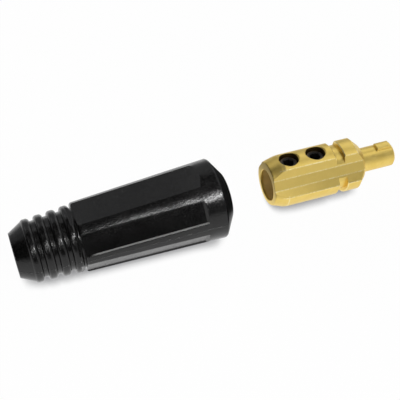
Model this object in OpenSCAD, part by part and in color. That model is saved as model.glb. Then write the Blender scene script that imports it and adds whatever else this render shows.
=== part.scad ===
// Welding cable plug, shown apart: a moulded insulating sleeve and, in front
// of it, the brass plug body with its two clamp screws. Lengths are in
// millimetres. X runs along the plug from the cable end to the contact pin,
// Z is up, and both pieces lie on Z = 0. The origin is the middle of the
// footprint.

/* [Sleeve outside] */

// Length of the sleeve along its own axis
sleeve_length = 108; // [104:1:116]
// Diameter of the flat face at the cable end
sleeve_end_d = 22.2; // [21:0.2:24]
// Diameter where the tapered body begins, behind the ribs
sleeve_shoulder_d = 34.8; // [34:0.2:36]
// Distance of that shoulder from the cable end
sleeve_shoulder_at = 31.6; // [31.4:0.2:33]
// Rounding of the shoulder's edge
sleeve_shoulder_round = 1.2; // [0.6:0.2:1.6]
// Largest diameter, at the rim
sleeve_rim_d = 41; // [39.6:0.2:42]
// Length of the steep cone in front of the rim
sleeve_nose_length = 5.5; // [4:0.5:6]
// Diameter of the front face
sleeve_front_d = 24; // [23.4:0.2:27]

/* [Cable end ribs] */

// Number of ribs
rib_count = 4; // [2:1:4]
// Distance of the first rib's middle from the cable end
rib_first_at = 8.9; // [8:0.1:9.4]
// Distance from one rib to the next
rib_pitch = 6.5; // [6.2:0.05:6.7]
// Width of one rib
rib_width = 4.6; // [4:0.1:5.2]
// Rounding of a rib's crest
rib_round = 1.7; // [1:0.1:1.9]
// Diameter over the first rib
rib_first_d = 31.4; // [30:0.2:31.8]
// Diameter over the last rib
rib_last_d = 33.5; // [33:0.1:33.8]
// Depth of the grooves between the ribs
groove_depth = 1.8; // [1.2:0.1:2.4]

/* [Grip recesses] */

// Width of the two wide recesses, above and below
wide_recess_width = 16.4; // [14:0.2:17]
// Depth of the wide recesses in their middle
wide_recess_depth = 1.9; // [1.6:0.1:2.2]
// Width of the four narrow recesses
side_recess_width = 12.8; // [10:0.2:13.2]
// Depth of the narrow recesses in their middle
side_recess_depth = 1.4; // [1:0.1:1.8]
// Angle of the narrow recesses from the top or the bottom
side_recess_angle = 60.5; // [59.5:0.5:62]
// Distance of the wide recesses' front end from the cable end
wide_recess_end_at = 94.6; // [86:0.2:96]
// Distance of the narrow recesses' front end from the cable end
side_recess_end_at = 93.2; // [86:0.2:96]
// Corner radius at the front end of a narrow recess
recess_corner = 3; // [1:0.5:4]

/* [Sleeve inside] */

// Diameter of the cable hole
cable_hole_d = 17.6; // [16:0.2:18.4]
// Space between the brass and the sleeve that hugs it
cavity_gap = 0.15; // [0.05:0.05:0.3]
// Diameter of the front opening around the contact pin
front_hole_d = 21; // [19:0.5:22]
// Depth of the front opening, down to the plug body's collar
front_hole_depth = 9; // [7:0.5:11]

/* [Plug body] */

// Diameter of the barrel and of the collar
barrel_d = 27.8; // [27.4:0.1:28.4]
// Diameter of the ring face at the cable bore
nose_d = 23.4; // [22:0.1:24]
// Length of the cone between the ring face and the barrel
nose_length = 6.5; // [5:0.5:7]
// Diameter of the cable bore
bore_d = 16.4; // [14:0.2:17]
// Depth of the cable bore
bore_depth = 33.5; // [32:0.5:34.5]
// How far the bore lies below the barrel's middle
bore_drop = 1.1; // [0.4:0.1:1.4]
// Distance of the neck groove from the ring face
neck_at = 35.6; // [35.4:0.1:38]
// Width of the neck groove
neck_width = 4.8; // [4:0.1:5.5]
// Diameter in the neck groove
neck_d = 23.4; // [22.4:0.1:24]
// Length of the collar in front of the neck, without its bevel
collar_length = 7.6; // [6:0.1:8.6]
// Size of the bevel at the collar's front edge
collar_bevel = 3.9; // [2:0.1:4.2]

/* [Key channels] */

// Angle of the two key channels from the screws
channel_angle = 60; // [58:1:64]
// Distance of the channel floor from the barrel's middle
channel_floor = 10.85; // [10.7:0.05:11.1]
// Width of the channel floor
channel_width = 5.4; // [4.2:0.1:5.8]
// Slope of the channel walls, in degrees from the floor
channel_slope = 11.5; // [10:0.5:16]

/* [Contact pin] */

// Diameter of the contact pin
pin_d = 13; // [12.6:0.1:13.4]
// Length of the contact pin in front of the collar
pin_length = 20; // [18:0.5:32]
// Bevel at the pin's tip
pin_bevel = 1; // [0.4:0.1:1.4]
// Width of the bayonet lug on the pin
lug_width = 4.8; // [4:0.1:6]
// Height of the lug above the pin's surface
lug_height = 1.3; // [0.8:0.1:1.8]
// Length of the lug
lug_length = 8.6; // [6:0.1:10]
// Distance of the lug's front end from the pin's tip
lug_setback = 1; // [0.8:0.1:3]

/* [Clamp screws] */

// Outside diameter of a clamp screw
screw_d = 10; // [9.4:0.1:10.2]
// Length of a clamp screw
screw_length = 8; // [7:0.5:9]
// Space round a screw in its hole, on each side
screw_gap = 0.03; // [0.02:0.01:0.08]
// Distance of the first screw from the ring face
screw_first_at = 11.5; // [11.2:0.1:12.4]
// Distance between the two screws
screw_spacing = 15; // [14:0.1:15.6]
// Depth of a screw's top below the top of the barrel
screw_depth = 2.8; // [2.4:0.1:3.2]
// Width across flats of the hexagon socket
socket_flats = 5; // [4:0.5:6]
// Depth of the hexagon socket
socket_depth = 4; // [2:0.5:5]

/* [Where the pieces lie] */

// Space along X between the sleeve's front face and the ring face
piece_gap = 26; // [10:1:40]
// How far the sleeve lies beside the plug body's line, towards the front
sleeve_aside = 7.5; // [0:0.5:16]

/* [Hidden] */

$fn = 96;
far = 30;

// Tapered body of the sleeve
shoulder_r = sleeve_shoulder_d / 2;
rim_r = sleeve_rim_d / 2;
rim_at = sleeve_length - sleeve_nose_length;
taper = (rim_r - shoulder_r) / (rim_at - sleeve_shoulder_at);
taper_angle = atan(taper);

// Ribs
rib_last_at = rib_first_at + (rib_count - 1) * rib_pitch;
rib_step = (rib_last_d - rib_first_d) / 2 / (rib_count - 1);
function rib_at(i) = rib_first_at + i * rib_pitch;
function rib_r(i) = rib_first_d / 2 + i * rib_step;
core_first_r = rib_first_d / 2 - groove_depth;
core_last_r = rib_last_d / 2 - groove_depth;

// Plug body, measured from its ring face
barrel_r = barrel_d / 2;
collar_at = neck_at + neck_width;
collar_end = collar_at + collar_length;
pin_root = collar_end + collar_bevel;
pin_tip = pin_root + pin_length;
edge_bevel = 0.4;
channel_rise = tan(channel_slope);
screw_top = barrel_r - screw_depth;
hole_r = screw_d / 2 + screw_gap;

// Inside of the sleeve, measured from the cable end
seat_at = sleeve_length - front_hole_depth - pin_root;
cavity_r = barrel_r + cavity_gap;
cable_hole_r = cable_hole_d / 2;
front_hole_r = front_hole_d / 2;
nose_pocket_r = nose_d / 2 + cavity_gap;

// The sleeve rests on its rim and its last rib
rest_tilt = atan((rim_r - rib_last_d / 2) / (rim_at - rib_last_at));
sleeve_lift = rim_r * cos(rest_tilt) - rim_at * sin(rest_tilt);
sleeve_front_x = sleeve_length * cos(rest_tilt)
               + sleeve_front_d / 2 * sin(rest_tilt);

// Footprint of the two pieces, for the origin in its middle
body_x = sleeve_front_x + piece_gap;
low_x = -sleeve_end_d / 2 * sin(rest_tilt);
high_x = body_x + pin_tip;
low_y = -sleeve_aside - rim_r;
high_y = max(barrel_r, rim_r - sleeve_aside);
mid_x = (low_x + high_x) / 2;
mid_y = (low_y + high_y) / 2;

rubber = [0.06, 0.06, 0.065];
brass = [0.86, 0.71, 0.38];
black_steel = [0.14, 0.12, 0.11];

// Turns a piece drawn along Z so that it lies along X. Its own X then points
// up and its own Y points to the front.
module lie_down()
    rotate([180, -90, 0]) children();

// Half section of one rib: a bar with a rounded crest
module rib_section(crest_r) {
    root = crest_r - groove_depth - 2;
    translate([root, -rib_width / 2])
        square([crest_r - rib_round - root, rib_width]);
    translate([root, -rib_width / 2 + rib_round])
        square([crest_r - root, rib_width - 2 * rib_round]);
    for (side = [-1, 1])
        translate([crest_r - rib_round, side * (rib_width / 2 - rib_round)])
            circle(r = rib_round);
}

// Half section of the sleeve's outside
module sleeve_section() {
    first_side = rib_first_at - rib_width / 2 + 0.5 * rib_round;
    // cable end cone and the core that carries the ribs
    polygon([
        [0, 0],
        [sleeve_end_d / 2, 0],
        [rib_first_d / 2 - 0.5, first_side],
        [core_first_r, rib_first_at],
        [core_last_r, rib_last_at + rib_width / 2],
        [core_last_r, sleeve_shoulder_at + 2],
        [0, sleeve_shoulder_at + 2]
    ]);
    for (i = [0 : rib_count - 1])
        translate([0, rib_at(i)])
            rib_section(rib_r(i));
    // tapered body with a rounded shoulder, rim and steep front cone
    round_r = shoulder_r + sleeve_shoulder_round * taper
            - sleeve_shoulder_round / cos(taper_angle);
    round_at = sleeve_shoulder_at + sleeve_shoulder_round;
    translate([round_r, round_at])
        circle(r = sleeve_shoulder_round);
    polygon([
        [0, sleeve_shoulder_at],
        [round_r, sleeve_shoulder_at],
        [round_r + sleeve_shoulder_round * cos(taper_angle),
         round_at - sleeve_shoulder_round * sin(taper_angle)],
        [rim_r - 0.4 * taper, rim_at - 0.4],
        [rim_r - 0.35, rim_at + 0.25],
        [sleeve_front_d / 2, sleeve_length],
        [0, sleeve_length]
    ]);
}

// A long flat recess in the tapered body. Its floor follows the taper, its
// front end runs out at 45 degrees, and the wall at its low side can lean.
module recess(width, depth, end_at, lean, corner) {
    long = (end_at - sleeve_shoulder_at) / cos(taper_angle);
    half = width / 2;
    translate([shoulder_r, 0, sleeve_shoulder_at])
    rotate([0, taper_angle, 0])
    intersection() {
        translate([0, 0, -3])
            linear_extrude(height = long + 12)
                polygon([
                    [-depth, -half + lean],
                    [-depth, half],
                    [4, half],
                    [4, -half - 4 * lean / depth]
                ]);
        rotate([90, 0, 0])
            translate([0, 0, -far / 2])
                linear_extrude(height = far)
                    polygon([
                        [-depth, -3],
                        [-depth, long - depth],
                        [4, long + 4],
                        [4, -3]
                    ]);
        rotate([0, -90, 0])
            translate([0, 0, -4])
                linear_extrude(height = 8)
                    round_front(long, half, corner);
    }
}

// Outline of a recess seen from outside, with round corners at the front
module round_front(long, half, corner) {
    wide = half + 4;
    if (corner > 0) {
        translate([-3, -wide])
            square([long + 3 - corner, half + wide]);
        translate([-3, -half + corner])
            square([long + 3, 2 * half - corner]);
        translate([long - corner, -half + corner])
            circle(r = corner);
    } else {
        translate([-3, -wide])
            square([long + 6, 2 * wide]);
    }
}

// Room inside the sleeve for cable, plug body and mating socket
module sleeve_cavity() {
    nose_end = seat_at + nose_length;
    ring_start = seat_at + neck_at + cavity_gap;
    ring_end = seat_at + collar_at - cavity_gap;
    bevel_start = seat_at + collar_end;
    front_start = sleeve_length - front_hole_depth;
    ring_r = neck_d / 2 + cavity_gap;
    rotate_extrude()
        polygon([
            [0, -1],
            [cable_hole_r + 1.8, -1],
            [cable_hole_r, 0.8],
            [cable_hole_r, seat_at - 5],
            [nose_pocket_r, seat_at - 0.5],
            [cavity_r, nose_end],
            [cavity_r, ring_start],
            [ring_r, ring_start],
            [ring_r, ring_end],
            [cavity_r, ring_end],
            [cavity_r, bevel_start],
            [front_hole_r, front_start + 0.3],
            [front_hole_r, sleeve_length - 0.6],
            [front_hole_r + 1.6, sleeve_length + 1],
            [0, sleeve_length + 1]
        ]);
}

// Cross section of a key channel, shrunk by a gap for the key in the sleeve
module channel_section(gap) {
    half = channel_width / 2 - gap;
    floor_at = channel_floor + gap;
    polygon([
        [floor_at, -half],
        [floor_at, half],
        [floor_at + 8 * channel_rise, half + 8],
        [floor_at + 12, half + 8],
        [floor_at + 12, -half - 8],
        [floor_at + 8 * channel_rise, -half - 8]
    ]);
}

module insulating_sleeve()
    color(rubber)
    translate([-mid_x, -mid_y - sleeve_aside, sleeve_lift])
    rotate([0, -rest_tilt, 0])
    lie_down()
    difference() {
        rotate_extrude()
            sleeve_section();
        for (turn = [0, 180])
            rotate([0, 0, turn])
                recess(wide_recess_width, wide_recess_depth,
                       wide_recess_end_at, 0, 0);
        for (flip_x = [0, 1])
            for (flip_y = [0, 1])
                mirror([flip_x, 0, 0])
                mirror([0, flip_y, 0])
                rotate([0, 0, side_recess_angle])
                    recess(side_recess_width, side_recess_depth,
                           side_recess_end_at, 1.2, recess_corner);
        difference() {
            sleeve_cavity();
            for (side = [-1, 1])
                rotate([0, 0, side * channel_angle])
                    translate([0, 0, seat_at + nose_length + 1])
                        linear_extrude(height = collar_end - nose_length - 1)
                            channel_section(cavity_gap);
        }
    }

// Turned outside of the plug body
module body_section()
    polygon([
        [0, 0],
        [nose_d / 2 - 0.3, 0],
        [nose_d / 2, 0.3],
        [barrel_r - 0.35, nose_length - 1],
        [barrel_r, nose_length + 1],
        [barrel_r, neck_at - edge_bevel],
        [barrel_r - edge_bevel, neck_at],
        [neck_d / 2, neck_at],
        [neck_d / 2, collar_at],
        [barrel_r - edge_bevel, collar_at],
        [barrel_r, collar_at + edge_bevel],
        [barrel_r, collar_end],
        [barrel_r - collar_bevel, pin_root],
        [pin_d / 2, pin_root],
        [pin_d / 2, pin_tip - pin_bevel],
        [pin_d / 2 - pin_bevel, pin_tip],
        [0, pin_tip]
    ]);

// Bayonet lug, left standing when the pin is milled
module lug() {
    lug_r = pin_d / 2 + lug_height;
    lug_start = pin_tip - lug_setback - lug_length;
    intersection() {
        translate([0, 0, lug_start])
            rotate_extrude()
                polygon([
                    [0, 0],
                    [lug_r - 0.3, 0],
                    [lug_r, 0.3],
                    [lug_r, lug_length - 0.9],
                    [lug_r - 0.9, lug_length],
                    [0, lug_length]
                ]);
        translate([1, -lug_width / 2, lug_start - 1])
            cube([lug_r + 1, lug_width, lug_length + 2]);
    }
}

module plug_body()
    color(brass)
    translate([body_x - mid_x, -mid_y, barrel_r])
    lie_down()
    difference() {
        union() {
            rotate_extrude()
                body_section();
            lug();
        }
        // cable bore with a bevelled mouth and a drilled end
        translate([-bore_drop, 0, 0])
            rotate_extrude()
                polygon([
                    [0, -1],
                    [bore_d / 2 + 1.4, -1],
                    [bore_d / 2, 0.4],
                    [bore_d / 2, bore_depth],
                    [0, bore_depth + 2.5]
                ]);
        for (i = [0, 1])
            translate([0, 0, screw_first_at + i * screw_spacing])
                rotate([0, 90, 0]) {
                    cylinder(r = hole_r, h = far);
                    translate([0, 0, barrel_r - 0.75])
                        cylinder(r1 = hole_r, r2 = hole_r + 0.95, h = 0.95);
                }
        for (side = [-1, 1])
            rotate([0, 0, side * channel_angle])
                translate([0, 0, -1])
                    linear_extrude(height = pin_root + 2)
                        channel_section(0);
    }

// One clamp screw: plain cylinder for the thread, bevelled ends, hexagon
// socket in the top. turn is how far the socket happens to be turned.
module clamp_screw(at, turn)
    color(black_steel)
    translate([body_x - mid_x + at, -mid_y,
               barrel_r + screw_top - screw_length])
    difference() {
        rotate_extrude()
            polygon([
                [0, 0],
                [screw_d / 2 - 1.6, 0],
                [screw_d / 2, 1.6],
                [screw_d / 2, screw_length - 0.7],
                [screw_d / 2 - 0.7, screw_length],
                [0, screw_length]
            ]);
        translate([0, 0, screw_length - socket_depth])
            rotate([0, 0, turn])
                cylinder(r = socket_flats / 2 / cos(30), h = far, $fn = 6);
        translate([0, 0, screw_length - 0.35])
            cylinder(r1 = socket_flats / 2, r2 = socket_flats / 2 + 0.8,
                     h = 0.8);
    }

module clamp_screw_front()
    clamp_screw(screw_first_at, 12);

module clamp_screw_rear()
    clamp_screw(screw_first_at + screw_spacing, 37);

insulating_sleeve();
plug_body();
clamp_screw_front();
clamp_screw_rear();
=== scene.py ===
"""Looks of the welding cable plug: a moulded rubber sleeve, and apart from it the brass plug body
with its two clamp screws, on a white table under soft studio lamps."""
import math

import bmesh
import bpy
from mathutils import Matrix, Vector


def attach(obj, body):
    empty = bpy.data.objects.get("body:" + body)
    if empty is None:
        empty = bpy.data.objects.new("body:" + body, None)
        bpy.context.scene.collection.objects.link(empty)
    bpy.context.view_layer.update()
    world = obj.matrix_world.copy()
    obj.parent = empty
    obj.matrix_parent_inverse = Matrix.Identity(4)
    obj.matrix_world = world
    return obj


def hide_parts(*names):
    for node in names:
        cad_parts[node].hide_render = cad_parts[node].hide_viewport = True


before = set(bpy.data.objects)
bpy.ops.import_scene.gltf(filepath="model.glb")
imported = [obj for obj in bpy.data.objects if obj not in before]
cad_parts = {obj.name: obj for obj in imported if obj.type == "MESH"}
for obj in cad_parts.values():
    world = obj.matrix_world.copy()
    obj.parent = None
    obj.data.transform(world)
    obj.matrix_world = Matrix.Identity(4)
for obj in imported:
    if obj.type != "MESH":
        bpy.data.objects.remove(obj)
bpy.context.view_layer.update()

MM = 0.001

# Where the solids lie in the frame, in metres: the middle of the sleeve's cable end, the middle of
# the plug body's ring face, and the height of the screws' tips
SLEEVE_START = (-102.904 * MM, -0.45 * MM, 15.293 * MM)
SLEEVE_TILT = math.radians(2.897)
PLUG_START = (31.565 * MM, 7.05 * MM, 13.9 * MM)
SCREW_TIP_Z = 17.0 * MM

# The sleeve's sizes, in millimetres along it from its cable end and out from its axis
END_CONE, SHOULDER_AT, RECESS_END, RIM_AT = 12.0, 31.6, 93.2, 102.5
CAVITY_R = 14.05
RECESS_ANGLE = math.radians(60.5)
RECESS_LOW_WALL = -5.9

# The plug body's sizes, in millimetres along it from its ring face and out from its axis
NOSE_END, NECK_AT, NECK_END, COLLAR_END, PIN_ROOT = 6.5, 35.6, 40.4, 48.0, 51.9
BARREL_R = 13.9
BORE_REACH, BORE_END = 9.3, 36.0
CHANNEL_ANGLE = math.radians(30.0)
CHANNEL_FLOOR, CHANNEL_FLOOR_HALF, CHANNEL_EDGE = 10.85, 2.7, 7.35
SCREW_AT, SCREW_R = (11.5, 26.5), 5.0

# Fineness of the screws' mesh: points round, rows along the thread, and the angle of a sharp edge
POINTS_ROUND, THREAD_ROWS, SHARP_EDGE = 121, 97, math.radians(38)

# Lamps and pale cards: place, point they face, width and depth in metres, power in watts
MIDDLE, BESIDE_THE_BRASS = (0.0, 0.0, 0.0), (0.06, 0.0, 0.0)
LAMPS = {
    "overhead softbox": ((0.20, -0.74, 0.95), MIDDLE, 0.32, 0.34, 0.8),
    "bright core": ((0.15, -0.78, 0.90), MIDDLE, 0.09, 0.13, 4.8),
    "left lamp": ((-0.50, -0.98, 0.80), (-0.08, 0.0, 0.0), 0.09, 0.14, 1.8),
    "front lamp": ((-0.34, -1.10, 0.50), (-0.05, 0.0, 0.0), 0.06, 0.06, 0.3),
    "pale card": ((0.80, -1.60, 0.50), BESIDE_THE_BRASS, 0.80, 0.70, 0.95),
    "card behind the sleeve": ((-0.60, 1.40, 1.50), MIDDLE, 0.60, 1.00, 1.5),
    "card above the left": ((-0.36, -0.08, 1.05), MIDDLE, 0.26, 0.30, 0.2),
    "card above the brass": ((0.58, -0.10, 1.20), BESIDE_THE_BRASS, 0.50, 0.70, 1.35),
    "card behind the brass": ((1.10, 1.40, 1.50), BESIDE_THE_BRASS, 1.20, 1.40, 4.2),
}
ROOM_LIGHT = 0.36

# Sheets round the table, each between two opposite corners, in metres. The dark ones give the
# gloss its black parts, and the grey card keeps the brass out of the sleeve's front cone.
TABLE_TOP = ((-4.0, -4.0, 0.0), (4.0, 4.0, 0.0))
DARK_SHEETS = {
    "dark_front_panel": ((-1.3, -1.7, 0.02), (0.38, -1.7, 1.0)),
    "dark_left_panel": ((-1.3, 0.5, 0.02), (-1.3, -1.7, 1.2)),
    "dark_ceiling_panel": ((-1.3, -1.7, 1.1), (0.24, 0.62, 1.1)),
    "flag_for_the_brass": ((0.086, -0.39, 0.39), (0.17, -0.39, 0.53)),
}
GREY_CARD = ((0.021, -0.045, 0.002), (0.021, 0.045, 0.042))


class Wire:
    """One value in a node tree. Python's operators on it add the Math nodes."""

    def __init__(self, graph, socket):
        self.graph, self.socket = graph, socket

    def math(self, operation, *others):
        return self.graph.math(operation, self, *others)

    def __add__(self, other):
        return self.math("ADD", other)

    def __sub__(self, other):
        return self.math("SUBTRACT", other)

    def __mul__(self, other):
        return self.math("MULTIPLY", other)

    def __truediv__(self, other):
        return self.math("DIVIDE", other)

    def __rsub__(self, other):
        return self.graph.math("SUBTRACT", other, self)

    def __rtruediv__(self, other):
        return self.graph.math("DIVIDE", other, self)

    __radd__, __rmul__ = __add__, __mul__

    def __abs__(self):
        return self.math("ABSOLUTE")

    def lowest(self, other):
        return self.math("MINIMUM", other)

    def highest(self, other):
        return self.math("MAXIMUM", other)

    def rise(self, start, end):
        """0 below start, 1 above end, smooth between."""
        return self.graph.add("ShaderNodeMapRange", {"interpolation_type": "SMOOTHSTEP"},
                              {"Value": self, "From Min": start, "From Max": end})

    def near(self, place, half):
        """1 at that place, 0 from half away."""
        return 1 - abs(self - place).rise(0.35 * half, half)


class Graph:
    """A node tree of a material, the world or a geometry modifier."""

    def __init__(self, tree):
        self.tree = tree
        self.tree.nodes.clear()

    def add(self, kind, settings=None, inputs=None, out=0):
        """A node of that type: its settings first, then its sockets' values or links."""
        node = self.tree.nodes.new(kind)
        for name, value in (settings or {}).items():
            setattr(node, name, value)
        for name, value in (inputs or {}).items():
            socket = node.inputs[name]
            if isinstance(value, Wire):
                self.tree.links.new(value.socket, socket)
            else:
                socket.default_value = value
        return Wire(self, node.outputs[out]) if len(node.outputs) else node

    def math(self, operation, *values):
        return self.add("ShaderNodeMath", {"operation": operation}, dict(enumerate(values)))

    def split(self, vector):
        node = self.add("ShaderNodeSeparateXYZ", None, {0: vector}).socket.node
        return [Wire(self, output) for output in node.outputs]

    def join(self, x, y, z):
        return self.add("ShaderNodeCombineXYZ", None, {0: x, 1: y, 2: z})

    def noise(self, vector, scale, detail, roughness):
        return self.add("ShaderNodeTexNoise", None,
                        {"Vector": vector, "Scale": scale, "Detail": detail, "Roughness": roughness})

    def colour(self, factor, low, high):
        """low where factor is 0, high where it is 1."""
        return self.add("ShaderNodeMix", {"data_type": "RGBA"}, {0: factor, 6: low, 7: high}, out=2)

    def own_millimetres(self, start, tilt=0.0):
        """Object coordinates in millimetres from a piece's own start, turned along its axis."""
        place = self.add("ShaderNodeTexCoord", out="Object")
        return self.add("ShaderNodeMapping", {"vector_type": "TEXTURE"},
                        {"Vector": place, "Location": start, "Rotation": (0.0, -tilt, 0.0),
                         "Scale": (MM, MM, MM)})

    def relief(self, height, edge_radius=None):
        """Bump of that height, over edges that look rounded, all in millimetres."""
        shape = {"Strength": 1.0, "Distance": 1.0, "Height": height * MM}
        if edge_radius:
            shape["Normal"] = self.add("ShaderNodeBevel", {"samples": 6}, {"Radius": edge_radius * MM})
        return self.add("ShaderNodeBump", None, shape)


def from_axis(across, up):
    """Distance from an axis, from the two coordinates square to it."""
    return (across * across + up * up).math("SQRT")


def from_nearer_screw(along, side):
    """Distance from the axis of the nearer clamp screw."""
    return from_axis(abs(along - SCREW_AT[0]).lowest(abs(along - SCREW_AT[1])), side)


def finish_named(name):
    material = bpy.data.materials.new(name)
    material.use_nodes = True
    return material, Graph(material.node_tree)


def close_finish(graph, **sockets):
    """The shader with those sockets, joined to the output."""
    named = {name.replace("_", " "): value for name, value in sockets.items()}
    shader = graph.add("ShaderNodeBsdfPrincipled", None, named)
    graph.add("ShaderNodeOutputMaterial", None, {"Surface": shader})


def moulded_rubber():
    """Glossy black rubber: fine grain with a grey speckle that is partly painted sheen on the top, soft
    unevenness, the mould's parting line, handling marks and a painted highlight along the low wall of the
    side recesses.
    """
    deep_black, worn_black = (0.0007, 0.0007, 0.0008, 1), (0.0020, 0.0019, 0.0018, 1)
    speck_and_sheen_grey, painted_highlight_grey = (0.022, 0.0215, 0.021, 1), (0.34, 0.34, 0.33, 1)
    material, g = finish_named("black moulded rubber")
    own = g.own_millimetres(SLEEVE_START, SLEEVE_TILT)
    along, side, up = g.split(own)

    # The end cone is thinner than the cavity, so there it is outside by its place along the sleeve
    outside = from_axis(side, up).rise(CAVITY_R + 0.15, CAVITY_R + 0.55)
    outside = outside.highest(1 - along.rise(END_CONE, END_CONE + 1.0))
    parting = abs(up).near(0.0, 0.30) * outside
    front_cone = along.rise(RIM_AT - 0.3, RIM_AT + 0.4)
    across_recess = abs(up) * math.sin(RECESS_ANGLE) - abs(side) * math.cos(RECESS_ANGLE)
    # Painted highlight: a pale grey line along the low wall of each side recess, in place of the glint off
    # that edge.
    painted_edge_highlight = (across_recess.near(RECESS_LOW_WALL, 0.55) * outside
                    * along.rise(SHOULDER_AT + 2.0, SHOULDER_AT + 6.0)
                    * (1 - along.rise(RECESS_END - 1.0, RECESS_END)))
    facing_up = up.rise(6.0, 13.0)

    grain = g.noise(own, 1.15, 3.0, 0.7)
    speckle = g.noise(own, 1.9, 2.0, 0.8).rise(0.42, 0.72)
    swell = g.noise(own, 0.16, 2.0, 0.45)
    dull_patches = g.noise(own, 0.09, 3.0, 0.55).rise(0.35, 0.7)
    rub_marks = g.noise(g.join(along * 0.12, side * 2.4, up * 2.4), 1.0, 2.0, 0.6).rise(0.58, 0.75)
    dots = g.add("ShaderNodeTexVoronoi", {"feature": "F1"}, {"Vector": own, "Scale": 0.23}, "Distance")
    pits = 1 - dots.rise(0.05, 0.11)

    tone = g.colour(dull_patches * 0.6 + grain * 0.3, deep_black, worn_black)
    # Grey speckle of the grain, laid mostly on the upward faces, where it also works as painted sheen that
    # makes the top lighter.
    tone = g.colour(speckle * (0.2 + facing_up * 0.8), tone, speck_and_sheen_grey)
    # Lays the painted highlight's pale grey on the recesses' low walls.
    tone = g.colour(painted_edge_highlight * (0.35 + grain * 0.8), tone, painted_highlight_grey)
    roughness = 0.15 + dull_patches * 0.05 + rub_marks * 0.03 + grain * 0.08 + front_cone * 0.12
    height = grain * 0.070 + swell * 0.10 + parting * 0.14 - rub_marks * 0.004 - pits * 0.04
    close_finish(g, Base_Color=tone, Roughness=roughness, IOR=1.46, Normal=g.relief(height, 0.5))
    return material


def machined_brass():
    """Turned and milled brass: tool rings, milled channels, bright edges that are partly burrs and partly
    painted highlight, painted shade in the screw holes and a slight tarnish.
    """
    tarnished, bright, milled = (0.85, 0.62, 0.155, 1), (0.93, 0.70, 0.205, 1), (0.82, 0.625, 0.19, 1)
    burr_and_edge_highlight, bored, painted_hole_shade = (0.98, 0.84, 0.44, 1), (0.85, 0.62, 0.24, 1), (0.14, 0.085, 0.03, 1)
    material, g = finish_named("machined brass")
    own = g.own_millimetres(PLUG_START)
    along, side, up = g.split(own)
    radius = from_axis(side, up)
    out_to_channel = up * math.sin(CHANNEL_ANGLE) + abs(side) * math.cos(CHANNEL_ANGLE)
    across_channel = up * math.cos(CHANNEL_ANGLE) - abs(side) * math.sin(CHANNEL_ANGLE)

    in_channel = ((1 - abs(across_channel).rise(CHANNEL_EDGE - 0.1, CHANNEL_EDGE + 0.05))
                  * (1 - radius.rise(BARREL_R - 0.06, BARREL_R - 0.02))
                  * out_to_channel.rise(CHANNEL_FLOOR - 0.85, CHANNEL_FLOOR - 0.55)
                  * (1 - along.rise(PIN_ROOT, PIN_ROOT + 0.2)))
    # The bright edges along the channels and the turned steps are partly burrs and partly a painted edge
    # highlight.
    floor_edges = abs(across_channel).near(CHANNEL_FLOOR_HALF, 0.45) * in_channel
    barrel_edges = (abs(across_channel).near(CHANNEL_EDGE, 0.50)
                    * out_to_channel.rise(CHANNEL_FLOOR - 0.35, CHANNEL_FLOOR + 0.15))
    step_edges = (along.near(NOSE_END + 0.5, 0.5).highest(along.near(NECK_AT - 0.2, 0.4))
                  .highest(along.near(NECK_END + 0.2, 0.4)).highest(along.near(COLLAR_END, 0.35))
                  * radius.rise(BARREL_R - 0.9, BARREL_R - 0.5))
    bright_edges = floor_edges.highest(barrel_edges).highest(step_edges * 0.8)
    # Painted shade: the walls of the screw holes are painted dark brown, as if in shadow.
    hole_walls = ((1 - from_nearer_screw(along, side).rise(SCREW_R + 0.08, SCREW_R + 0.25))
                  * up.rise(6.0, 7.0))
    in_bore = ((1 - radius.rise(BORE_REACH, BORE_REACH + 0.6)) * along.rise(0.6, 2.0)
               * (1 - along.rise(BORE_END + 0.5, BORE_END + 2.0)))

    rings = g.noise(g.join(along, radius, 0.0), 5.5, 3.0, 0.7)
    feed_marks = (along * 16.0 + across_channel * across_channel * 0.35).math("SINE") * 0.5 + 0.5
    streaks = g.noise(g.join(along * 0.10, across_channel * 2.2, out_to_channel * 2.2), 1.0, 3.0, 0.65)
    chatter = g.noise(g.join(along * 1.6, across_channel * 0.8, out_to_channel * 0.8), 1.0, 2.0, 0.6)
    shade = g.noise(own, 0.16, 3.0, 0.6).rise(0.3, 0.75)
    fine = g.noise(own, 7.0, 2.0, 0.6)

    tone = g.colour(shade, tarnished, bright)
    tone = g.colour(in_channel * (0.25 + streaks * 0.5), tone, milled)
    # Pale brass on the edges: partly burrs, partly painted highlight.
    tone = g.colour(bright_edges * chatter.rise(0.30, 0.65), tone, burr_and_edge_highlight)
    tone = g.colour(in_bore * 0.8, tone, bored)
    # Lays the painted shade on the screw holes' walls.
    tone = g.colour(hole_walls * 0.85, tone, painted_hole_shade)
    roughness = (0.36 + shade * 0.05 + rings * 0.06 + in_channel * (streaks * 0.10 + 0.04)
                 + in_bore * 0.25 - bright_edges * 0.06)
    height = (rings * 0.010 * (1 - in_channel) + feed_marks * 0.0022 * in_channel
              + streaks * 0.006 * in_channel + fine * 0.0015)
    close_finish(g, Base_Color=tone, Metallic=1 - in_bore * 0.60, Roughness=roughness,
                 Normal=g.relief(height, 0.16))
    return material


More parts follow.
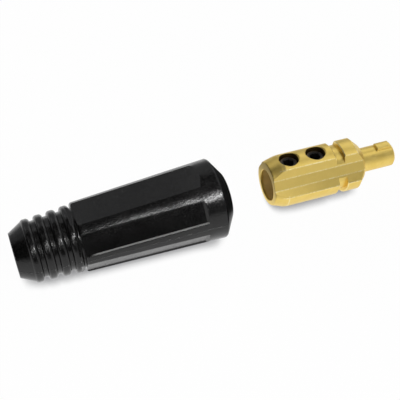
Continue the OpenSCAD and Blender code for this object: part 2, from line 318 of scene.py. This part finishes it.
def blackened_steel():
    """Black oxide on the clamp screws, rubbed to a brownish grey on the bevel and the thread's crests."""
    black, pale_black, rubbed = (0.010, 0.009, 0.008, 1), (0.022, 0.019, 0.016, 1), (0.20, 0.155, 0.11, 1)
    material, g = finish_named("blackened steel")
    along, side, _ = g.split(g.own_millimetres(PLUG_START))
    radius = from_nearer_screw(along, side)
    place = g.add("ShaderNodeTexCoord", out="Object")
    speckle = g.noise(place, 2200.0, 3.0, 0.65)
    blotches = g.noise(place, 420.0, 2.0, 0.5)
    bevel_wear = radius.rise(SCREW_R - 1.7, SCREW_R - 0.8) * blotches.rise(0.25, 0.55)
    crest_wear = radius.rise(SCREW_R - 0.25, SCREW_R - 0.05)
    bright_edges = bevel_wear.highest(crest_wear) * (0.7 + speckle * 0.5)
    tone = g.colour(bright_edges, g.colour(speckle, black, pale_black), rubbed)
    close_finish(g, Base_Color=tone, Metallic=0.35 + bright_edges * 0.6,
                 Roughness=0.42 - bright_edges * 0.08 + speckle * 0.08,
                 Normal=g.relief(speckle * 0.006 + blotches * 0.004))
    return material


def matt(name, level):
    """A plain matt grey for the sheets round the table."""
    material, g = finish_named(name)
    face = g.add("ShaderNodeBsdfDiffuse", None, {"Color": (level, level, level, 1)})
    g.add("ShaderNodeOutputMaterial", None, {"Surface": face})
    return material


def white_table():
    """White paper that shows pure white around the object, with a painted contact shadow under it and a
    little of the object's real shadow.
    """
    material, g = finish_named("white table")
    paper = g.add("ShaderNodeBsdfDiffuse", None, {"Color": (0.93, 0.93, 0.93, 1)})
    openness = g.add("ShaderNodeAmbientOcclusion", {"samples": 24}, {"Distance": 9 * MM}, "AO")
    path = g.add("ShaderNodeLightPath").socket.node
    camera, gloss, glass = [Wire(g, path.outputs[name])
                            for name in ("Is Camera Ray", "Is Glossy Ray", "Is Transmission Ray")]
    # Painted shadow: to the camera the paper's glow darkens to grey where the ambient occlusion finds the
    # object near.
    painted_contact_shadow = (1 - openness.rise(0.0, 0.62)) * camera
    seen = g.colour(painted_contact_shadow, (1, 1, 1, 1), (0.22, 0.22, 0.23, 1))
    glow = g.add("ShaderNodeEmission", None, {"Color": seen, "Strength": 1.0})
    share = camera.highest(gloss).highest(glass) * 0.98
    blend = g.add("ShaderNodeMixShader", None, {0: share, 1: paper, 2: glow})
    g.add("ShaderNodeOutputMaterial", None, {"Surface": blend})
    return material


def sheet(name, low, high, material):
    """A flat stage piece between two opposite corners, which share one coordinate."""
    across, along = [axis for axis in range(3) if low[axis] != high[axis]]
    corners = [list(low) for _ in range(4)]
    corners[1][across] = corners[2][across] = high[across]
    corners[2][along] = corners[3][along] = high[along]
    mesh = bpy.data.meshes.new(name)
    form = bmesh.new()
    form.faces.new([form.verts.new(corner) for corner in corners])
    form.to_mesh(mesh)
    form.free()
    piece = bpy.data.objects.new(name, mesh)
    bpy.context.scene.collection.objects.link(piece)
    mesh.materials.append(material)
    return piece


def set_the_table():
    sheet("table_top", *TABLE_TOP, white_table())
    dark = matt("dark side of the room", 0.006)
    for name, corners in DARK_SHEETS.items():
        sheet(name, *corners, dark).visible_camera = False
    between = sheet("grey_card", *GREY_CARD, matt("grey card", 0.10))
    between.visible_camera = between.visible_diffuse = between.visible_shadow = False


def place_camera():
    """The photograph's viewpoint, found from the picture's outlines."""
    place, look = (-0.12432, -0.31933, 0.33882), Vector((0.24984, 0.68643, -0.68293))
    data = bpy.data.cameras.new("camera")
    data.sensor_fit, data.sensor_width, data.lens = "HORIZONTAL", 36.0, 83.78
    data.clip_start, data.clip_end = 0.02, 50.0
    camera = bpy.data.objects.new("camera", data)
    camera.location = place
    camera.rotation_euler = look.to_track_quat("-Z", "Y").to_euler()
    bpy.context.scene.collection.objects.link(camera)
    bpy.context.scene.camera = camera
    bpy.context.scene.view_settings.view_transform = "Standard"


def soft_light(name, place, aim, width, depth, power):
    data = bpy.data.lights.new(name, "AREA")
    data.shape, data.size, data.size_y, data.energy = "RECTANGLE", width, depth, power
    light = bpy.data.objects.new(name, data)
    light.location = place
    light.rotation_euler = (Vector(aim) - Vector(place)).to_track_quat("-Z", "Y").to_euler()
    bpy.context.scene.collection.objects.link(light)


def light_the_room():
    """The lamps, and a room that is white to the camera and dimmer to the object."""
    for name, lamp in LAMPS.items():
        soft_light(name, *lamp)
    world = bpy.data.worlds.new("room")
    world.use_nodes = True
    g = Graph(world.node_tree)
    seen = g.add("ShaderNodeLightPath", out="Is Camera Ray")
    tone = g.colour(seen, (0.97, 0.98, 1.0, 1), (1, 1, 1, 1))
    room = g.add("ShaderNodeBackground", None,
                 {"Color": tone, "Strength": ROOM_LIGHT + (1 - ROOM_LIGHT) * seen})
    g.add("ShaderNodeOutputWorld", None, {"Surface": room})
    bpy.context.scene.world = world


def screw_tree():
    """Geometry Nodes for one grub screw: a helical thread, bevelled ends and a hexagon socket."""
    tree = bpy.data.node_groups.new("grub screw", "GeometryNodeTree")
    tree.interface.new_socket(name="Geometry", in_out="OUTPUT", socket_type="NodeSocketGeometry")
    sizes = {"Radius": SCREW_R * MM, "Length": 8.0 * MM, "Pitch": 1.5 * MM, "Thread Depth": 0.85 * MM,
             "Tip Bevel": 1.6 * MM, "Top Bevel": 0.7 * MM, "Socket Flats": 5.0 * MM,
             "Socket Depth": 4.0 * MM, "Socket Turn": 0.0}
    for name, value in sizes.items():
        socket = tree.interface.new_socket(name=name, in_out="INPUT", socket_type="NodeSocketFloat")
        socket.default_value = value
    tree.interface.new_socket(name="Finish", in_out="INPUT", socket_type="NodeSocketMaterial")
    g = Graph(tree)
    given = tree.nodes.new("NodeGroupInput")
    size = {item.name: Wire(g, item) for item in given.outputs if item.name}
    radius, length, pitch = size["Radius"], size["Length"], size["Pitch"]

    # Each shell starts as a flat grid: x goes once round the screw, y from the shell's start to its end
    x, y, _ = g.split(g.add("GeometryNodeInputPosition"))
    turn, share = x + 0.5, y + 0.5
    angle = turn * (2 * math.pi)

    def wall_radius(height):
        phase = (height / pitch - turn).math("FRACT")
        ridge = (abs(phase * 2 - 1) * 1.5 - 0.25).highest(0).lowest(1)
        thread = radius - size["Thread Depth"] * (1 - ridge)
        tip = radius - (size["Tip Bevel"] - height).highest(0)
        top = radius - (size["Top Bevel"] - length + height).highest(0)
        return thread.lowest(tip).lowest(top)

    def shell(rows, out, height):
        grid = g.add("GeometryNodeMeshGrid", None,
                     {"Size X": 1.0, "Size Y": 1.0, "Vertices X": POINTS_ROUND, "Vertices Y": rows})
        place = g.join(out * angle.math("COSINE"), out * angle.math("SINE"), height)
        return g.add("GeometryNodeSetPosition", None, {"Geometry": grid, "Position": place})

    sixth = math.pi / 3
    corner = ((angle - size["Socket Turn"]) / sixth).math("FRACT") * sixth - sixth / 2
    hexagon = size["Socket Flats"] / 2 / corner.math("COSINE")
    rim = size["Socket Flats"] / 2 + 0.5 * MM
    rim_depth = (rim - hexagon) * 0.8
    socket_floor = length - size["Socket Depth"]
    foot_rim, head_rim = wall_radius(0.0), wall_radius(length)
    foot_hollow, drill_mark = 0.5 * MM, 0.6 * MM
    shells = {
        "foot": shell(4, foot_rim * share, foot_hollow * (1 - share)),
        "thread": shell(THREAD_ROWS, wall_radius(length * share), length * share),
        "head": shell(3, head_rim + (rim - head_rim) * share, length),
        "rounded rim": shell(3, rim + (hexagon - rim) * share, length - rim_depth * share),
        "socket walls": shell(7, hexagon, length - rim_depth + (socket_floor - length + rim_depth) * share),
        "socket floor": shell(5, hexagon * (1 - share), socket_floor - drill_mark * share),
    }
    joined = tree.nodes.new("GeometryNodeJoinGeometry")
    for piece in reversed(shells.values()):
        tree.links.new(piece.socket, joined.inputs[0])
    welded = g.add("GeometryNodeMergeByDistance", None,
                   {"Geometry": Wire(g, joined.outputs[0]), "Distance": 0.002 * MM})
    real = g.add("GeometryNodeRealizeInstances", None, {"Geometry": welded})
    done = g.add("GeometryNodeSetMaterial", None, {"Geometry": real, "Material": size["Finish"]})
    result = tree.nodes.new("NodeGroupOutput")
    tree.links.new(done.socket, result.inputs[0])
    return tree


def clamp_screw(name, node, body, at, turn, tree, finish):
    """One clamp screw in its threaded hole. It stands for the plain screw of the solids."""
    piece = bpy.data.objects.new(name, bpy.data.meshes.new(name))
    bpy.context.scene.collection.objects.link(piece)
    modifier = piece.modifiers.new("thread", "NODES")
    modifier.node_group = tree
    values = {"Socket Turn": math.radians(turn), "Finish": finish}
    for item in tree.interface.items_tree:
        if item.in_out == "INPUT" and item.name in values:
            modifier[item.identifier] = values[item.name]
    bpy.context.view_layer.update()
    evaluated = piece.evaluated_get(bpy.context.evaluated_depsgraph_get())
    mesh = bpy.data.meshes.new_from_object(evaluated)
    piece.modifiers.clear()
    mesh.transform(Matrix.Translation((PLUG_START[0] + at * MM, PLUG_START[1], SCREW_TIP_Z)))
    piece.data = mesh
    mesh.shade_smooth()
    mesh.set_sharp_from_angle(angle=SHARP_EDGE)
    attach(piece, body)
    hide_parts(node)


def dress(node, finish):
    """Gives a CAD node its finish."""
    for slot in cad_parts[node].material_slots:
        slot.material = finish


place_camera()
light_the_room()
set_the_table()
dress("insulating_sleeve", moulded_rubber())
dress("plug_body", machined_brass())
steel = blackened_steel()
screws = screw_tree()
clamp_screw("front_clamp_screw", "clamp_screw_front", "front_screw", SCREW_AT[0], 12, screws, steel)
clamp_screw("rear_clamp_screw", "clamp_screw_rear", "rear_screw", SCREW_AT[1], 37, screws, steel)
